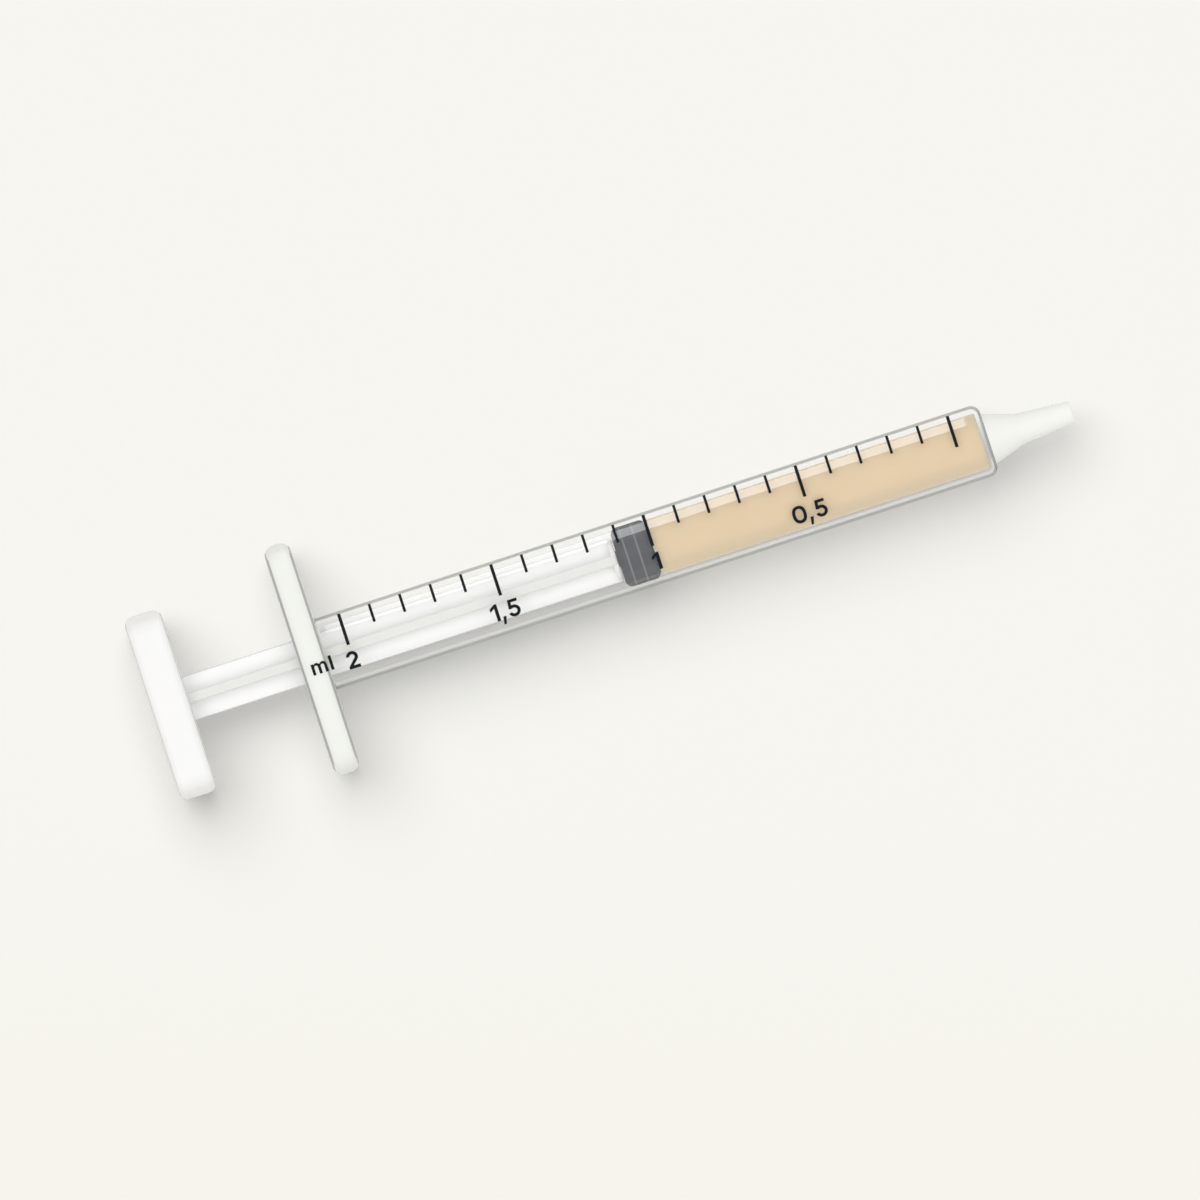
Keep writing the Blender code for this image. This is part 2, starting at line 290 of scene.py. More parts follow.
def plate(name, outline, rear, front, edge_radius=0.0, both_edges=True):
    """A plate across the axis, from (y, z) points, with its edges rounded where a radius is given."""
    shape = bmesh.new()
    rear_face = shape.faces.new([shape.verts.new((rear, y, z + AXIS_HEIGHT)) for y, z in outline])
    pushed = bmesh.ops.extrude_face_region(shape, geom=[rear_face], use_keep_orig=True)["geom"]
    moved = [v for v in pushed if isinstance(v, bmesh.types.BMVert)]
    bmesh.ops.translate(shape, verts=moved, vec=(front - rear, 0.0, 0.0))
    if edge_radius:
        ends = [rear, front] if both_edges else [rear]
        edges = [
            e for e in shape.edges
            if any(all(abs(v.co.x - end) < MERGE_DISTANCE for v in e.verts) for end in ends)
        ]
        bmesh.ops.bevel(
            shape, geom=edges, offset=edge_radius, offset_type="OFFSET", segments=EDGE_SEGMENTS,
            profile=0.5, affect="EDGES", clamp_overlap=False,
        )
    return new_object(name, shape)


def combined(target, other, operation):
    """Joins a helper to the target, or cuts the target with it. The helper is used up."""
    boolean = target.modifiers.new(operation.lower(), "BOOLEAN")
    boolean.operation = operation
    boolean.solver = "EXACT"
    boolean.object = other
    evaluated = target.evaluated_get(bpy.context.evaluated_depsgraph_get())
    result = bpy.data.meshes.new_from_object(evaluated)
    target.modifiers.remove(boolean)
    target.data = result
    result.name = target.name
    bpy.data.objects.remove(other)


# Materials

# How much of the wall's look is gloss, by how slanted it is seen, from 0 (square on) to 1. The shares are set
# so that the highlight lies where the photograph has it.
GLOSS_SHARES = (
    (0.0, 0.02), (0.07, 0.02), (0.13, 0.09), (0.35, 0.09), (0.38, 0.03), (0.42, 0.03), (0.45, 0.34),
    (0.55, 0.34), (0.6, 0.2), (1.0, 0.3),
)
GLOSS_AT_END = 0.4

# The clear wall, and its rim: the part that is seen edge on, and the closed end. Their grey is partly a tint
# along the longer path through the wall and partly painted shade
RIM_TINT = (0.80, 0.81, 0.80)
RIM_PAINTED_SHADE = (0.41, 0.42, 0.41)
RIM_HAZE = 0.5
RIM_SLANT = (0.57, 0.63)
RIM_AT_END = 0.31 * MM
RIM_FADE = 0.05 * MM
WALL_MILK = (0.93, 0.935, 0.925)
WALL_HAZE = 0.04
BORE_HAZE = 0.02
FLOW_SIZE = 0.9 * MM
FLOW_STRETCH = (12.0, 1.0, 1.0)

# How much lamp light gets past. A tube gathers it towards the middle of its shadow.
WALL_SHADOW_MIDDLE = 0.44
WALL_SHADOW_EDGE = 0.22
DOSE_SHADOW = (0.9, 0.9, 0.9)

# Painted shade: a grey line round the edges of flange, thumb rest and ribs, where they slant away from above
PAINTED_EDGE_SHADE = (0.40, 0.41, 0.40)
LINE_MARGIN = 0.02 * MM
LINE_FADE = (1.15, 0.85)
LINE_SLANT = 0.2
LINE_SLANT_FADE = 0.1
NO_LINE = 1.0
# How far faces have turned towards x or y, from 0 to 1, where the line ends or end_slant takes over
FLAT_FACE_TURN = (0.95, 0.98)
END_FACE_TURN = (0.4, 0.6)
FLANGE_LINE = 0.28 * MM
THUMB_LINE = 0.14 * MM
RIB_LINE = 0.09 * MM

# Solid colours, each with the shade that it varies towards
FLANGE_COLOURS = ((0.885, 0.9, 0.86), (0.87, 0.887, 0.845))
NOZZLE_COLOURS = ((0.91, 0.92, 0.88), (0.9, 0.91, 0.87))
WHITE_COLOURS = ((0.945, 0.945, 0.935), (0.935, 0.935, 0.925))
# The edges of the upper and lower ribs are greyer: painted shade
RIB_EDGE_PAINTED_SHADE = ((0.81, 0.815, 0.785), (0.80, 0.805, 0.775))
RUBBER_COLOURS = ((0.079, 0.081, 0.092), (0.091, 0.093, 0.104))
# Paler colour for the lips' crests: a painted highlight
PAINTED_LIP_HIGHLIGHT = (0.185, 0.187, 0.2)
LIQUID_COLOURS = ((0.742, 0.597, 0.401), (0.772, 0.627, 0.429))
INK_COLOURS = ((0.008, 0.011, 0.012), (0.016, 0.019, 0.021))
FLOOR_COLOURS = ((0.0995, 0.0988, 0.0945), (0.099, 0.0975, 0.0915))


def node(tree, kind, inputs=None, **settings):
    """A new node, with its settings, and its inputs given as values or as sockets to link."""
    made = tree.nodes.new(kind)
    for name, value in settings.items():
        setattr(made, name, value)
    for key, value in (inputs or {}).items():
        if isinstance(value, bpy.types.NodeSocket):
            tree.links.new(value, made.inputs[key])
        else:
            made.inputs[key].default_value = value
    return made


def new_material(name):
    """A material with an empty node tree, and that tree."""
    material = bpy.data.materials.new(name)
    material.use_nodes = True
    material.node_tree.nodes.clear()
    return material, material.node_tree


def position(tree):
    """Where a point of the piece is, in metres, in the frame at rest."""
    return node(tree, "ShaderNodeTexCoord").outputs["Object"]


def mixed_colour(tree, share, first, second):
    """A mix of two colours, each given as numbers or as a socket."""
    mix = node(tree, "ShaderNodeMix", data_type="RGBA")
    for socket, value in ((mix.inputs[0], share), (mix.inputs[6], first), (mix.inputs[7], second)):
        if isinstance(value, bpy.types.NodeSocket):
            tree.links.new(value, socket)
        else:
            socket.default_value = (*value, 1.0) if isinstance(value, tuple) else value
    return mix.outputs[2]


def noise(tree, size, detail=2.0, stretch=(1.0, 1.0, 1.0)):
    """Soft random values from 0 to 1, in blotches of about this size. A larger stretch makes them longer."""
    scaled = node(
        tree, "ShaderNodeVectorMath",
        {0: position(tree), 1: tuple(1.0 / (size * s) for s in stretch)}, operation="MULTIPLY",
    )
    return node(
        tree, "ShaderNodeTexNoise", {"Vector": scaled.outputs[0], "Scale": 1.0, "Detail": detail}
    ).outputs["Fac"]


def ranged(tree, value, low, high, to_low, to_high, smooth=False):
    """A value moved from one range to another, and kept inside the second."""
    return node(
        tree, "ShaderNodeMapRange",
        {"Value": value, "From Min": low, "From Max": high, "To Min": to_low, "To Max": to_high},
        interpolation_type="SMOOTHSTEP" if smooth else "LINEAR",
    ).outputs["Result"]


def fine_bump(tree, size, depth):
    """The normal of a faintly textured mould surface."""
    return node(
        tree, "ShaderNodeBump", {"Height": noise(tree, size, 3.0), "Strength": 1.0, "Distance": depth}
    ).outputs["Normal"]


def output(tree, shader):
    """Makes a shader the material's surface."""
    node(tree, "ShaderNodeOutputMaterial", {"Surface": shader})


def to_lamps(tree, seen, past):
    """A shader that is seen as the first one, and lets lamp light past as the second does."""
    lamp_ray = node(tree, "ShaderNodeLightPath").outputs["Is Shadow Ray"]
    return node(tree, "ShaderNodeMixShader", {0: lamp_ray, 1: seen, 2: past}).outputs[0]


def painted_edge_shade(tree, centre, half_sizes, corner, width, end_slant=LINE_SLANT):
    """Share, 0 to 1, of a line of painted shade round the edge of a part: within a width of its outline as
    seen along z, which is a rectangle with rounded corners. It is fixed to the part, and doesn't move with
    the view.
    It lies only where the surface slants away from z, by at least end_slant on faces towards y, and it leaves
    out the flat faces towards x. An end_slant of NO_LINE leaves out the faces towards y too."""

    def vector(operation, first, second=None):
        inputs = {0: first} if second is None else {0: first, 1: second}
        return node(tree, "ShaderNodeVectorMath", inputs, operation=operation).outputs

    folded = vector("ABSOLUTE", vector("SUBTRACT", position(tree), centre)[0])[0]
    inner = (half_sizes[0] - corner, half_sizes[1] - corner, 0.0)
    outside = vector("MAXIMUM", vector("SUBTRACT", folded, inner)[0], (0.0, 0.0, 0.0))[0]
    reach = vector("LENGTH", vector("MULTIPLY", outside, (1.0, 1.0, 0.0))[0])["Value"]
    near = ranged(
        tree, reach, corner - LINE_FADE[0] * width, corner - LINE_FADE[1] * width, 0.0, 1.0, smooth=True
    )
    on_part = node(
        tree, "ShaderNodeMath", {0: reach, 1: corner + LINE_MARGIN}, operation="LESS_THAN"
    ).outputs[0]
    normal = vector("ABSOLUTE", node(tree, "ShaderNodeTexCoord").outputs["Normal"])[0]
    towards = node(tree, "ShaderNodeSeparateXYZ", {0: normal})
    rounded = ranged(tree, towards.outputs["X"], *FLAT_FACE_TURN, 1.0, 0.0)
    least = ranged(tree, towards.outputs["Y"], *END_FACE_TURN, LINE_SLANT, end_slant)
    most = node(tree, "ShaderNodeMath", {0: least, 1: LINE_SLANT_FADE}, operation="ADD").outputs[0]
    slant = node(tree, "ShaderNodeMath", {0: 1.0, 1: towards.outputs["Z"]}, operation="SUBTRACT").outputs[0]
    share = ranged(tree, slant, least, most, 0.0, 1.0)
    for factor in (near, on_part, rounded):
        share = node(tree, "ShaderNodeMath", {0: share, 1: factor}, operation="MULTIPLY").outputs[0]
    return share


def solid_plastic(
    name, colours, roughness, subsurface, line=None, edge_shade_depth=0.0, lets_through=0.0, sheen=0.0,
    texture=0.002 * MM,
):
    """Moulded plastic that varies softly between a colour and a shade of it. It can have painted shade, a
    greyer line at its thin edges, given as for painted_edge_shade, and let a share of lamp light through to
    what is behind."""
    material, tree = new_material(name)
    base = mixed_colour(tree, ranged(tree, noise(tree, 5 * MM), 0.35, 0.65, 0.0, 1.0), *colours)
    # Painted shade: the base colour turns grey along the thin edges
    if line:
        share = ranged(tree, painted_edge_shade(tree, *line), 0.0, 1.0, 0.0, edge_shade_depth)
        base = mixed_colour(tree, share, base, PAINTED_EDGE_SHADE)
    shader = node(
        tree, "ShaderNodeBsdfPrincipled",
        {
            "Base Color": base,
            "Roughness": ranged(tree, noise(tree, 0.8 * MM), 0.3, 0.7, roughness - 0.05, roughness + 0.05),
            "IOR": 1.5,
            "Subsurface Weight": subsurface,
            "Subsurface Radius": (1.0, 0.95, 0.9),
            "Subsurface Scale": 0.8 * MM,
            "Sheen Weight": sheen,
            "Sheen Roughness": 0.3,
            "Normal": fine_bump(tree, 0.15 * MM, texture),
        },
    )
    surface = shader.outputs[0]
    if lets_through:
        past = node(
            tree, "ShaderNodeBsdfTransparent", {"Color": (lets_through, lets_through, lets_through, 1.0)}
        )
        surface = to_lamps(tree, surface, past.outputs[0])
    output(tree, surface)
    return material


def flow_haze(tree, amount):
    """A share of haze that varies in streaks along the barrel."""
    flow = noise(tree, FLOW_SIZE, 3.0, stretch=FLOW_STRETCH)
    return ranged(tree, flow, 0.3, 0.7, 0.8 * amount, 1.2 * amount)


def clear_wall():
    """Clear plastic, greyer where the wall is seen edge on and at its closed end: partly a tint along the
    longer path through the wall, partly painted shade, a grey milky layer there. It shades what is outside
    from the lamps, but not what is inside."""
    material, tree = new_material("clear_wall")
    facing = node(tree, "ShaderNodeLayerWeight", {"Blend": 0.5}).outputs["Facing"]
    behind = node(tree, "ShaderNodeNewGeometry").outputs["Backfacing"]
    along = node(tree, "ShaderNodeSeparateXYZ", {0: position(tree)}).outputs["X"]
    edge_on = ranged(tree, facing, *RIM_SLANT, 0.0, 1.0, smooth=True)
    end_start = BARREL_FRONT - RIM_AT_END
    closed_end = ranged(tree, along, end_start, end_start + RIM_FADE, 0.0, 1.0, smooth=True)
    thickness_and_shade = node(tree, "ShaderNodeMath", {0: edge_on, 1: closed_end}, operation="MAXIMUM").outputs[0]

    tint = mixed_colour(tree, thickness_and_shade, (1.0, 1.0, 1.0), RIM_TINT)
    clear = node(tree, "ShaderNodeBsdfTransparent", {"Color": tint})
    milky = node(
        tree, "ShaderNodeBsdfPrincipled",
        {
            "Base Color": mixed_colour(tree, thickness_and_shade, WALL_MILK, RIM_PAINTED_SHADE),
            "Roughness": 0.5,
            "Specular IOR Level": 0.0,
        },
    )
    rim_haze = ranged(tree, thickness_and_shade, 0.0, 1.0, 0.0, RIM_HAZE)
    haze = node(
        tree, "ShaderNodeMath", {0: flow_haze(tree, WALL_HAZE), 1: rim_haze}, operation="MAXIMUM"
    ).outputs[0]
    body = node(tree, "ShaderNodeMixShader", {0: haze, 1: clear.outputs[0], 2: milky.outputs[0]})

    curve = node(tree, "ShaderNodeValToRGB", {"Fac": facing})
    stops = curve.color_ramp.elements
    for number, (place, level) in enumerate(GLOSS_SHARES):
        stop = stops[number] if number < 2 else stops.new(place)
        stop.position = place
        stop.color = (level, level, level, 1.0)
    share = curve.outputs["Color"]
    front_side = ranged(tree, behind, 0.0, 1.0, 1.0, 0.0)
    open_part = ranged(tree, closed_end, 0.0, 1.0, 1.0, GLOSS_AT_END)
    for factor in (front_side, open_part):
        share = node(tree, "ShaderNodeMath", {0: share, 1: factor}, operation="MULTIPLY").outputs[0]
    gloss = node(tree, "ShaderNodeBsdfGlossy", {"Color": (1.0, 1.0, 1.0, 1.0), "Roughness": 0.03})
    seen = node(tree, "ShaderNodeMixShader", {0: share, 1: body.outputs[0], 2: gloss.outputs[0]})

    dimmed = ranged(tree, facing, 0.0, 0.7, WALL_SHADOW_MIDDLE, WALL_SHADOW_EDGE)
    dimmed = node(tree, "ShaderNodeMath", {0: dimmed, 1: behind}, operation="MAXIMUM").outputs[0]
    past = node(tree, "ShaderNodeBsdfTransparent", {"Color": dimmed})
    output(tree, to_lamps(tree, seen.outputs[0], past.outputs[0]))
    return material


def clear_bore():
    """The clear wall's inner surface, a little milky. It lets all lamp light through."""
    material, tree = new_material("clear_bore")
    clear = node(tree, "ShaderNodeBsdfTransparent", {"Color": (1.0, 1.0, 1.0, 1.0)})
    milky = node(
        tree, "ShaderNodeBsdfPrincipled",
        {"Base Color": (*WALL_MILK, 1.0), "Roughness": 0.5, "Specular IOR Level": 0.0},
    )
    haze = flow_haze(tree, BORE_HAZE)
    body = node(tree, "ShaderNodeMixShader", {0: haze, 1: clear.outputs[0], 2: milky.outputs[0]})
    output(tree, to_lamps(tree, body.outputs[0], clear.outputs[0]))
    return material


def rubber():
    """Dark grey rubber, with a painted highlight: paler colour on the crests of its two lips."""
    material, tree = new_material("grey_rubber")
    off_axis = node(
        tree, "ShaderNodeVectorMath", {0: position(tree), 1: (0.0, 0.0, AXIS_HEIGHT)}, operation="SUBTRACT"
    )
    across = node(
        tree, "ShaderNodeVectorMath", {0: off_axis.outputs[0], 1: (0.0, 1.0, 1.0)}, operation="MULTIPLY"
    )
    radius = node(tree, "ShaderNodeVectorMath", {0: across.outputs[0]}, operation="LENGTH").outputs["Value"]
    # Painted highlight on the crests of the lips
    crest_start = STOPPER_RADIUS + 0.1 * LIP_HEIGHT
    crest_full = STOPPER_RADIUS + 0.45 * LIP_HEIGHT
    lip_highlight = ranged(tree, radius, crest_start, crest_full, 0.0, 1.0, smooth=True)
    plain = mixed_colour(tree, noise(tree, 0.7 * MM, 4.0), *RUBBER_COLOURS)
    shader = node(
        tree, "ShaderNodeBsdfPrincipled",
        {
            "Base Color": mixed_colour(tree, lip_highlight, plain, PAINTED_LIP_HIGHLIGHT),
            "Roughness": ranged(tree, noise(tree, 0.3 * MM), 0.3, 0.7, 0.5, 0.65),
            "Specular IOR Level": 0.04,
            "Normal": fine_bump(tree, 0.06 * MM, 0.002 * MM),
        },
    )
    output(tree, shader.outputs[0])
    return material


def tan_liquid():
    """A tan suspension. It wets the bore, so it has no shine of its own. It gathers lamp light on the floor
    behind it as a lens does, so it hardly shades that."""
    material, tree = new_material("tan_liquid")
    clouds = noise(tree, 2.5 * MM, 3.0, stretch=(3.0, 1.0, 1.0))
    shader = node(
        tree, "ShaderNodeBsdfPrincipled",
        {
            "Base Color": mixed_colour(tree, clouds, *LIQUID_COLOURS),
            "Roughness": 0.6,
            "Specular IOR Level": 0.0,
            "Subsurface Weight": 0.7,
            "Subsurface Radius": (1.0, 0.8, 0.6),
            "Subsurface Scale": 2.0 * MM,
        },
    )
    glow = node(tree, "ShaderNodeBsdfTransparent", {"Color": (*DOSE_SHADOW, 1.0)})
    output(tree, to_lamps(tree, shader.outputs[0], glow.outputs[0]))
    return material


def ink():
    """Black print, a little thinner in places."""
    material, tree = new_material("black_ink")
    shader = node(
        tree, "ShaderNodeBsdfPrincipled",
        {
            "Base Color": mixed_colour(tree, noise(tree, 0.25 * MM, 3.0), *INK_COLOURS),
            "Roughness": 0.7,
            "Specular IOR Level": 0.1,
        },
    )
    output(tree, shader.outputs[0])
    return material


def pale_floor():
    """A plain matte surface, a little warmer towards the viewer's side. It is dark under strong lamps of its
    own, so that it looks pale but hardly takes up light from the syringe."""
    material, tree = new_material("pale_floor")
    turned_place = node(
        tree, "ShaderNodeMapping", {"Vector": position(tree), "Rotation": (0.0, 0.0, PHOTO_TURN)}
    )
    up = node(tree, "ShaderNodeSeparateXYZ", {0: turned_place.outputs[0]}).outputs["Y"]
    near = ranged(tree, up, -60 * MM, -10 * MM, 1.0, 0.0, smooth=True)
    shader = node(
        tree, "ShaderNodeBsdfPrincipled",
        {
            "Base Color": mixed_colour(tree, near, *FLOOR_COLOURS),
            "Roughness": 0.9,
            "Specular IOR Level": 0.0,
        },
    )
    output(tree, shader.outputs[0])
    return material


# Pieces

def barrel_piece():
    """The clear moulding: tube, flange and nozzle in one, with its bead and passage."""
    steep_slope = (NOZZLE_BASE_RADIUS - NOZZLE_NECK_RADIUS) / NOZZLE_CONE_LENGTH
    slender_slope = (NOZZLE_NECK_RADIUS - NOZZLE_TIP_RADIUS) / (NOZZLE_TIP - NOZZLE_NECK)
    collar = BARREL_RADIUS + FLANGE_ROOT_RADIUS
    start = (MOUTH + FLANGE_FRONT) / 2
    root = (FLANGE_FRONT - JOIN_DEPTH + FLANGE_ROOT_RADIUS, collar)
    front_edge = (BARREL_FRONT - FRONT_EDGE_RADIUS, BARREL_RADIUS - FRONT_EDGE_RADIUS)
    outside = [
        (start, 0.0),
        (start, collar),
        *arc(root, FLANGE_ROOT_RADIUS, 180, 270, 6),
        *arc(front_edge, FRONT_EDGE_RADIUS, 90, 0),
        (BARREL_FRONT, NOZZLE_BASE_RADIUS),
        (NOZZLE_NECK - NOZZLE_NECK_RELIEF, NOZZLE_NECK_RADIUS + NOZZLE_NECK_RELIEF * steep_slope),
        (NOZZLE_NECK + NOZZLE_NECK_RELIEF, NOZZLE_NECK_RADIUS - NOZZLE_NECK_RELIEF * slender_slope),
        *arc((NOZZLE_TIP - NOZZLE_LIP, NOZZLE_TIP_RADIUS - NOZZLE_LIP), NOZZLE_LIP, 85, 0, 5),
        (NOZZLE_TIP, 0.0),
    ]
    passage_start = NOZZLE_BASE_RADIUS - NOZZLE_WALL
    passage_neck = NOZZLE_NECK_RADIUS - NOZZLE_WALL
    passage_slope = (passage_start - passage_neck) / (NOZZLE_NECK - BORE_END)
    passage_end = NOZZLE_TIP_RADIUS - NOZZLE_WALL - CUT_OVERRUN * slender_slope
    hollow = [
        (MOUTH - CUT_OVERRUN, 0.0),
        (MOUTH - CUT_OVERRUN, BORE_RADIUS + MOUTH_CHAMFER + CUT_OVERRUN),
        (MOUTH + MOUTH_CHAMFER, BORE_RADIUS),
        *reversed(ring(MOUTH + BEAD_FROM_MOUTH, BORE_RADIUS, BEAD_WIDTH, -BEAD_HEIGHT)),
        *arc((BORE_END - BORE_END_RADIUS, BORE_RADIUS - BORE_END_RADIUS), BORE_END_RADIUS, 90, 0, 6),
        (BORE_END, passage_start),
        (BARREL_FRONT, passage_start - FRONT_WALL * passage_slope),
        (NOZZLE_NECK, passage_neck),
        (NOZZLE_TIP + CUT_OVERRUN, passage_end),
        (NOZZLE_TIP + CUT_OVERRUN, 0.0),
    ]
    outline = flat_sided_outline(FLANGE_REACH, FLANGE_HALF_WIDTH, FLANGE_CORNER_RADIUS)
    tube = turned("barrel_moulding", outside)
    combined(tube, plate("flange", outline, MOUTH, FLANGE_FRONT, FLANGE_EDGE_RADIUS), "UNION")
    combined(tube, turned("barrel_hollow", hollow), "DIFFERENCE")

    # The flange's edges get a line of painted shade
    middle = (MOUTH + FLANGE_THICKNESS / 2, 0.0, 0.0)
    half_sizes = (FLANGE_THICKNESS / 2, FLANGE_REACH)
    line = (middle, half_sizes, FLANGE_EDGE_RADIUS, FLANGE_LINE, NO_LINE)
    materials = {
        "outside": clear_wall(),
        "bore": clear_bore(),
        "flange": solid_plastic(
            "milky_flange", FLANGE_COLOURS, roughness=0.35, subsurface=0.5, line=line, edge_shade_depth=0.88,
            lets_through=0.4,
        ),
        "nozzle": solid_plastic(
            "milky_nozzle", NOZZLE_COLOURS, roughness=0.5, subsurface=0.0, lets_through=0.5, sheen=0.6,
            texture=0.0005 * MM,
        ),
    }
    for material in materials.values():
        tube.data.materials.append(material)
    for face in tube.data.polygons:
        face.material_index = list(materials).index(barrel_zone(face.center))
    return smoothed(tube)


def barrel_zone(place):
    """Which of the barrel's materials a face at this place has."""
    radius = math.hypot(place.y, place.z - AXIS_HEIGHT)
    if place.x > BARREL_FRONT - ZONE_MARGIN:
        return "nozzle"
    if place.x < FLANGE_FRONT + ZONE_MARGIN:
        return "flange"
    in_bore = radius < BORE_RADIUS + ZONE_MARGIN and place.x < BORE_END + ZONE_MARGIN
    in_passage = radius < NOZZLE_BASE_RADIUS - NOZZLE_WALL + ZONE_MARGIN
    return "bore" if in_bore or in_passage else "outside"


def rod_piece():
    """The white moulding: thumb rest, cross-shaped rod, disc, neck and barbed head."""
    outline = flat_sided_outline(THUMB_REACH, THUMB_HALF_WIDTH, THUMB_CORNER_RADIUS)
    rod = plate("plunger_rod_moulding", outline, THUMB_REAR, THUMB_FRONT, THUMB_EDGE_RADIUS)
    core_outline = flat_sided_outline(
        THUMB_REACH - THUMB_WALL, THUMB_HALF_WIDTH - THUMB_WALL, THUMB_CORNER_RADIUS - THUMB_WALL
    )
    core = plate(
        "thumb_core", core_outline, THUMB_REAR + THUMB_WALL, THUMB_FRONT + CORE_OVERRUN, THUMB_CORE_EDGE,
        both_edges=False,
    )
    combined(rod, core, "DIFFERENCE")
    cross = cross_outline(ROD_REACH, RIB_THICKNESS, RIB_ROOT_RADIUS, RIB_EDGE_RADII)
    ribs = plate("rod_ribs", cross, RIBS_REAR, RIBS_FRONT)
    combined(rod, ribs, "UNION")
    edge = DISC_EDGE_RADIUS
    front = [
        (HEAD_FRONT, 0.0),
        (HEAD_FRONT, HEAD_RADIUS - HEAD_TAPER),
        ((HEAD_FRONT + HEAD_REAR) / 2, HEAD_RADIUS),
        (HEAD_REAR, HEAD_RADIUS),
        (HEAD_REAR, NECK_RADIUS),
        (DISC_FRONT, NECK_RADIUS),
        *arc((DISC_FRONT - edge, DISC_RADIUS - edge), edge, 0, 90, 4),
        *arc((DISC_FRONT - DISC_THICKNESS + edge, DISC_RADIUS - edge), edge, 90, 180, 4),
        (DISC_FRONT - DISC_THICKNESS, 0.0),
    ]
    combined(rod, turned("rod_head", front), "UNION")

    # The thumb rest's edges and the side ribs' roundings get a line of painted shade
    middle = (THUMB_REAR + THUMB_THICKNESS / 2, 0.0, 0.0)
    half_sizes = (THUMB_THICKNESS / 2, THUMB_REACH)
    thumb_edge_shade = (middle, half_sizes, THUMB_EDGE_RADIUS, THUMB_LINE, NO_LINE)
    rib_edge_shade = ((0.0, 0.0, 0.0), (1.0, ROD_REACH), RIB_EDGE_RADII[0], RIB_LINE)
    white = {"colours": WHITE_COLOURS, "roughness": 0.35, "subsurface": 0.3}
    # The second material is painted shade on the edges of the upper and lower ribs
    materials = (
        solid_plastic("white_plastic", **white, line=thumb_edge_shade, edge_shade_depth=0.48),
        solid_plastic("rib_edge_painted_shade", RIB_EDGE_PAINTED_SHADE, roughness=0.5, subsurface=0.3),
        solid_plastic("rib_side_painted_shade", **white, line=rib_edge_shade, edge_shade_depth=0.45),
    )
    for material in materials:
        rod.data.materials.append(material)
    for face in rod.data.polygons:
        face.material_index = rod_zone(face)
    return smoothed(rod)


def rod_zone(face):
    """Which of the rod's materials a face has: 1, painted shade, on the edges of the upper and lower ribs, 2,
    a white with a painted shade line, on the roundings of the side ribs' edges, and 0 elsewhere."""
    sideways = abs(face.center.y)
    upwards = abs(face.center.z - AXIS_HEIGHT)
    edge = RIB_EDGE_RADII[0] if sideways > upwards else RIB_EDGE_RADII[1]
    on_edge = ROD_REACH - edge < max(sideways, upwards) < ROD_REACH + ZONE_MARGIN
    if not on_edge or face.center.x <= THUMB_FRONT - RIB_ZONE_START:
        return 0
    if upwards > sideways:
        return 1
    return 2 if abs(face.normal.y) < RIB_SIDE_FLAT else 0


def stopper_piece():
    """The rubber stopper, with two sealing lips and the chamber for the rod's head."""
    edge = STOPPER_EDGE_RADIUS
    chamber = STOPPER_RADIUS - STOPPER_SIDE_WALL
    profile = [
        (STOPPER_FRONT, 0.0),
        *arc((STOPPER_FRONT - edge, STOPPER_RADIUS - edge), edge, 0, 90),
        *ring(STOPPER_FRONT - FRONT_LIP_INSET, STOPPER_RADIUS, LIP_WIDTH, LIP_HEIGHT),
        *ring(STOPPER_REAR + REAR_LIP_INSET, STOPPER_RADIUS, LIP_WIDTH, LIP_HEIGHT),
        *arc((STOPPER_REAR + edge, STOPPER_RADIUS - edge), edge, 90, 180),
        (STOPPER_REAR, STOPPER_NECK_HOLE),
        (STOPPER_REAR + STOPPER_REAR_WALL, STOPPER_NECK_HOLE),
        (STOPPER_REAR + STOPPER_REAR_WALL, chamber),
        (STOPPER_FRONT - STOPPER_FRONT_WALL, chamber),
        (STOPPER_FRONT - STOPPER_FRONT_WALL, 0.0),
    ]
    made = turned("rubber_stopper", profile)
    made.data.materials.append(rubber())
    return smoothed(made)


def dose_piece():
    """The liquid. It has points only at its two ends, so that it stretches evenly."""
    profile = [
        (DOSE_FRONT, 0.0),
        *arc((DOSE_FRONT - DOSE_EDGE_RADIUS, DOSE_RADIUS - DOSE_EDGE_RADIUS), DOSE_EDGE_RADIUS, 0, 90, 4),
        (DOSE_REAR, DOSE_RADIUS),
        (DOSE_REAR, 0.0),
    ]
    made = turned("tan_dose", profile)
    made.data.materials.append(tan_liquid())
    return smoothed(made)


# Printed scale. A glyph is a list of outlines, in millimetres from its lower left corner.

def rectangle(left, right, bottom, top):
    """The outline of an upright rectangle."""
    return [(left, bottom), (right, bottom), (right, top), (left, top)]


def zero():
    """A closed ring, made of short pieces because an outline can't have a hole."""
    centre, squareness, count = (0.71, 0.875), 2.35, 36
    outer = oval(centre, (0.72, 0.885), 0, 360, count, squareness)[:-1]
    inner = oval(centre, (0.39, 0.575), 0, 360, count, squareness)[:-1]
    return [
        [outer[i], outer[(i + 1) % count], inner[(i + 1) % count], inner[i]]
        for i in range(count)
    ]


def one():
    """A stem with a slanting flag."""
    stem = [(0.5, 0.0), (0.84, 0.0), (0.84, 1.75), (0.57, 1.75)]
    flag = [(0.05, 1.4), (0.05, 1.06), (0.5, 1.37)]
    return [stem + flag]


def two():
    """A bowl that runs down into a foot."""
    crown, bowl = (0.59, 1.19), (172, -38)
    outer = oval(crown, (0.61, 0.57), *bowl, 16)
    inner = oval(crown, (0.26, 0.245), *reversed(bowl), 16)
    foot = [(0.5, 0.31), (1.2, 0.31), (1.2, 0.0), (0.01, 0.0), (0.01, 0.24)]
    return [outer + foot + inner]


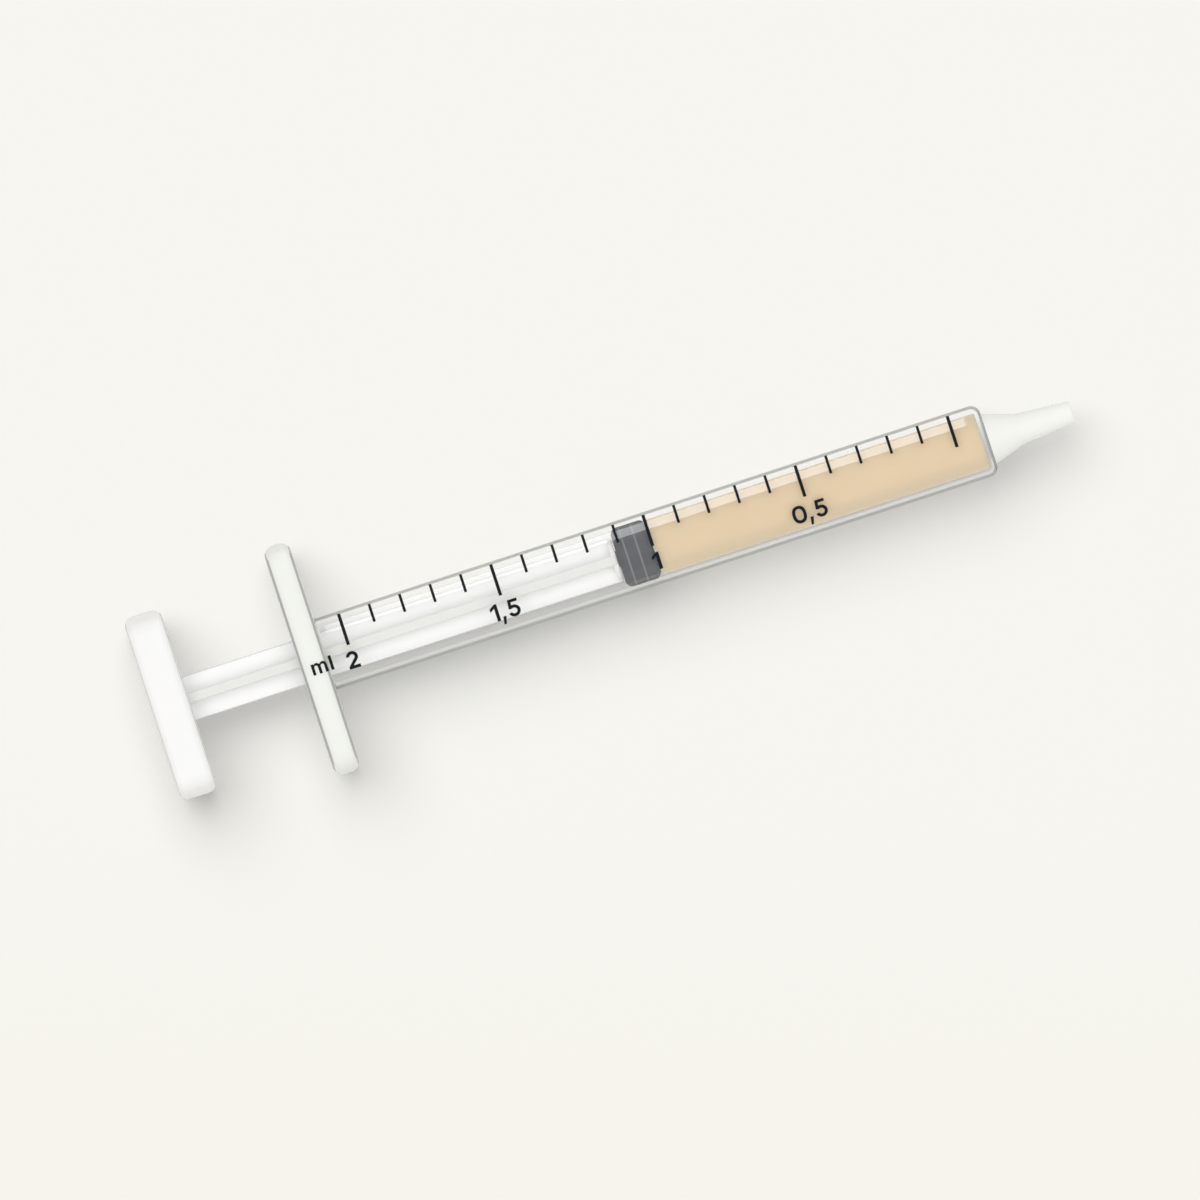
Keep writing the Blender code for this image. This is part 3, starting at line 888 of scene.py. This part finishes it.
def five():
    """A flag and a stem over a bowl."""
    bowl = (0.6, 0.58)
    outer = oval(bowl, (0.64, 0.6), 114, -162, 18)
    inner = oval(bowl, (0.31, 0.29), -162, 128, 18)
    flag = [(0.18, 1.76), (1.15, 1.76), (1.15, 1.46), (0.47, 1.46), (0.43, 1.1)]
    return [flag + outer + inner + [(0.09, 0.83)]]


def comma():
    """A short slanting stroke."""
    return [[(0.12, 0.32), (0.45, 0.32), (0.25, -0.46), (0.0, -0.46)]]


def letter_m():
    """Three stems under two arches."""
    height, stem, gap, width = 1.14, 0.29, 0.37, 1.61
    arch = []
    for number in range(2):
        left = stem + number * (gap + stem)
        top = (left + gap / 2, height - 0.4)
        arch.append(oval(top, (gap / 2, 0.18), 180, 0, 8))
    outline = [(0.0, 0.0), (0.0, height - 0.02), (stem, height - 0.02), (stem, height - 0.16)]
    outline += oval((stem + 0.26, height - 0.38), (0.34, 0.4), 130, 35, 6)
    outline += oval((stem + 0.26 + gap + stem, height - 0.38), (0.36, 0.4), 140, 0, 8)
    outline += [(width, 0.0), (width - stem, 0.0)]
    outline += list(reversed(arch[1]))
    outline += [(2 * stem + gap, 0.0), (stem + gap, 0.0)]
    outline += list(reversed(arch[0]))
    outline += [(stem, 0.0)]
    return [outline]


def letter_l():
    """A plain stem."""
    return [rectangle(-0.01, 0.29, 0.0, 1.48)]


GLYPHS = {"0": zero, "1": one, "2": two, "5": five, ",": comma, "m": letter_m, "l": letter_l}
ADVANCE = {"0": 1.56, "1": 1.03, "2": 1.25, "5": 1.25, ",": 0.77, "m": 1.9, "l": 0.3}

# Each number, its marks from zero, and how far it is nudged along, in millimetres
NUMBERS = (("0,5", 5, 0.0), ("1", 10, 0.0), ("1,5", 15, -0.03), ("2", 20, 0.0))


def laid_out(text, left, baseline):
    """Outlines of a line of text, in metres across the barrel as seen from above."""
    outlines = []
    for letter in text:
        for outline in GLYPHS[letter]():
            outlines.append([(left + x * MM, baseline + y * MM) for x, y in outline])
        left += ADVANCE[letter] * MM
    return outlines


def on_barrel(x, y):
    """The point of the tube's surface under (x, y), and its outward direction."""
    outward = Vector((0.0, y / BARREL_RADIUS, math.sqrt(1 - (y / BARREL_RADIUS) ** 2)))
    return Vector((x, 0.0, AXIS_HEIGHT)) + BARREL_RADIUS * outward, outward


def on_flange_or_barrel(x, y):
    """The point of the flange's rounded upper edge, or else of the tube, under (x, y)."""
    if x > FLANGE_FRONT:
        return on_barrel(x, y)
    front_centre = FLANGE_FRONT - FLANGE_EDGE_RADIUS
    rear_centre = MOUTH + FLANGE_EDGE_RADIUS
    centre = min(max(x, rear_centre), front_centre)
    lean = (x - centre) / FLANGE_EDGE_RADIUS
    outward = Vector((lean, 0.0, math.sqrt(1 - lean**2)))
    start = Vector((centre, y, AXIS_HEIGHT + FLANGE_HALF_WIDTH - FLANGE_EDGE_RADIUS))
    return start + FLANGE_EDGE_RADIUS * outward, outward


def printed(name, outlines, surface=on_barrel):
    """A thin layer of ink, laid on a surface from above."""
    shape = bmesh.new()
    for outline in outlines:
        shape.faces.new([shape.verts.new((x, y, 0.0)) for x, y in outline])
    bmesh.ops.remove_doubles(shape, verts=shape.verts, dist=MERGE_DISTANCE)
    bmesh.ops.triangulate(shape, faces=shape.faces)
    for axis in (0, 1):
        low = min(v.co[axis] for v in shape.verts)
        high = max(v.co[axis] for v in shape.verts)
        normal = Vector((1.0, 0.0, 0.0)) if axis == 0 else Vector((0.0, 1.0, 0.0))
        for cut in range(1, math.ceil((high - low) / INK_STRIP)):
            bmesh.ops.bisect_plane(
                shape, geom=shape.verts[:] + shape.edges[:] + shape.faces[:],
                plane_co=normal * (low + cut * INK_STRIP), plane_no=normal, dist=INK_CUT_TOLERANCE,
            )
    bmesh.ops.dissolve_degenerate(shape, edges=shape.edges, dist=MERGE_DISTANCE)
    raised = bmesh.ops.extrude_face_region(shape, geom=shape.faces[:], use_keep_orig=True)["geom"]
    raised = {v for v in raised if isinstance(v, bmesh.types.BMVert)}
    for vert in shape.verts:
        place, outward = surface(vert.co.x, vert.co.y)
        vert.co = place + outward * (INK_THICKNESS if vert in raised else -INK_DEPTH)
    made = new_object(name, shape)
    made.data.materials.append(black_ink)
    return made


def print_scale():
    """The marks, the numbers centred under theirs, and the unit."""
    made = []
    for number in range(MARK_COUNT):
        x = ZERO_MARK - number * MARK_PITCH
        long_mark = number % MARKS_PER_NUMBER == 0
        half = (LONG_MARK_WIDTH if long_mark else SHORT_MARK_WIDTH) / 2
        end = LONG_MARK_END if long_mark else SHORT_MARK_END
        outline = rectangle(x - half, x + half, end, MARK_START)
        made.append(printed(f"mark_{number / 10:.1f}_ml", [outline]))
    for text, marks_from_zero, nudge in NUMBERS:
        width = sum(ADVANCE[letter] for letter in text) * MM
        left = ZERO_MARK - marks_from_zero * MARK_PITCH - width / 2 + nudge * MM
        name = "number_" + text.replace(",", ".")
        made.append(printed(name, laid_out(text, left, DIGIT_BASELINE)))
    made.append(printed("unit_m", laid_out("m", UNIT_START, UNIT_BASELINE), on_flange_or_barrel))
    made.append(printed("unit_l", laid_out("l", UNIT_START + ADVANCE["m"] * MM, UNIT_BASELINE)))
    return made


# Studio

def add_light(name, kind, receivers, **settings):
    """A lamp that lights only one collection."""
    data = bpy.data.lights.new(name, kind)
    for key, value in settings.items():
        setattr(data, key, value)
    lamp = bpy.data.objects.new(name, data)
    studio.objects.link(lamp)
    lamp.light_linking.receiver_collection = receivers
    return lamp


def aim(lamp, direction):
    """Turns a lamp so that it shines in this direction."""
    lamp.rotation_mode = "QUATERNION"
    lamp.rotation_quaternion = Vector(direction).to_track_quat("-Z", "Y")


FLOOR_SIZE = 4.0
FLOOR_GAP = 0.02 * MM

# The even light from all round: its strength as things take it up and as gloss shows it, and its colours
WORLD_LIGHT = 0.55
GLOSSY_WORLD = 0.38
WORLD_COLOUR = (1.0, 0.995, 0.98, 1.0)
BACKDROP_COLOUR = (0.922, 0.913, 0.871, 1.0)

# Lamps: the floor has two of its own, and the syringe has one above and two strips
FLOOR_FILL = 4.27
FLOOR_KEY = 4.48
TOP_LIGHT = 0.50
KEY_DIRECTION = (0.9, -2.9, -5.05)
KEY_SPREAD = math.radians(57)
TOP_SPREAD = math.radians(70)
STRIP_ENDS = (-29.3 * MM, 0.7 * MM, 37.9 * MM)
STRIP_RISE = (-5.0, 28.5)
STRIP_DISTANCE = 80 * MM
STRIP_RADIANCES = (1.6, 2.55)
STRIP_COLOUR = (0.94, 0.97, 1.0)


def make_floor():
    """A wide floor just under the syringe, in its own collection."""
    bpy.ops.mesh.primitive_plane_add(size=FLOOR_SIZE, location=(0.0, 0.0, -FLOOR_GAP))
    floor = bpy.context.object
    floor.name = "floor"
    floor.data.materials.append(pale_floor())
    for collection in floor.users_collection:
        collection.objects.unlink(floor)
    floors.objects.link(floor)


def make_lamps():
    """A key and a fill for the floor, and a broad light from above for the syringe."""
    steep = abs(KEY_DIRECTION[2]) / Vector(KEY_DIRECTION).length
    key = add_light("floor_key", "SUN", floors, energy=FLOOR_KEY * math.pi / steep, angle=KEY_SPREAD)
    aim(key, KEY_DIRECTION)
    fill = add_light("floor_fill", "SUN", floors, energy=FLOOR_FILL * math.pi, use_shadow=False)
    aim(fill, (0, 0, -1))
    top = add_light("top_light", "SUN", pieces, energy=TOP_LIGHT * math.pi, angle=TOP_SPREAD)
    aim(top, (0, 0, -1))
    top.visible_glossy = False


def make_strips():
    """Two low strips on the +Y side, as long as the bright line along the barrel. The one over its empty part
    is dimmer."""
    rise = math.radians(sum(STRIP_RISE) / 2)
    height = 2 * STRIP_DISTANCE * math.tan(math.radians(STRIP_RISE[1] - STRIP_RISE[0]) / 2)
    for number, radiance in enumerate(STRIP_RADIANCES):
        rear, front = STRIP_ENDS[number:number + 2]
        strip = add_light(
            f"strip_light_{number + 1}", "AREA", pieces, shape="RECTANGLE", size=front - rear, size_y=height,
            energy=radiance * math.pi * (front - rear) * height, color=STRIP_COLOUR,
        )
        sideways = STRIP_DISTANCE * math.cos(rise)
        upwards = AXIS_HEIGHT + STRIP_DISTANCE * math.sin(rise)
        strip.location = ((rear + front) / 2, sideways, upwards)
        aim(strip, (0.0, -math.cos(rise), -math.sin(rise)))
        strip.visible_diffuse = False
        strip.visible_camera = False


def make_world():
    """Even light from all round, and a pale backdrop beyond the floor."""
    world = bpy.data.worlds.new("studio_world")
    bpy.context.scene.world = world
    world.use_nodes = True
    tree = world.node_tree
    tree.nodes.clear()
    path = node(tree, "ShaderNodeLightPath")
    strength = ranged(tree, path.outputs["Is Glossy Ray"], 0.0, 1.0, WORLD_LIGHT, GLOSSY_WORLD)
    light = node(tree, "ShaderNodeBackground", {"Color": WORLD_COLOUR, "Strength": strength})
    backdrop = node(tree, "ShaderNodeBackground", {"Color": BACKDROP_COLOUR, "Strength": 1.0})
    mix = node(
        tree, "ShaderNodeMixShader",
        {0: path.outputs["Is Camera Ray"], 1: light.outputs[0], 2: backdrop.outputs[0]},
    )
    node(tree, "ShaderNodeOutputWorld", {"Surface": mix.outputs[0]})
    bpy.context.scene.view_settings.view_transform = "Standard"


def make_camera():
    """A camera straight above, turned as the photograph is."""
    data = bpy.data.cameras.new("camera")
    data.type = "ORTHO"
    data.ortho_scale = VIEW_WIDTH
    camera = bpy.data.objects.new("camera", data)
    studio.objects.link(camera)
    camera.location = (*VIEW_CENTRE, CAMERA_HEIGHT)
    camera.rotation_euler = (0.0, 0.0, -PHOTO_TURN)
    bpy.context.scene.camera = camera


def new_collection(name):
    """A new collection in the scene."""
    made = bpy.data.collections.new(name)
    bpy.context.scene.collection.children.link(made)
    return made


pieces = new_collection("syringe")
floors = new_collection("floors")
studio = new_collection("studio")
black_ink = ink()

make_camera()
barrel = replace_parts(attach(barrel_piece(), "barrel"), "barrel")
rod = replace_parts(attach(rod_piece(), "plunger_rod"), "plunger_rod")
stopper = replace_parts(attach(stopper_piece(), "stopper"), "stopper")
dose = dose_piece()
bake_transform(dose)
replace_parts(dose, "liquid_dose")
for mark in print_scale():
    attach(mark, "barrel")
make_floor()
make_lamps()
make_strips()
make_world()
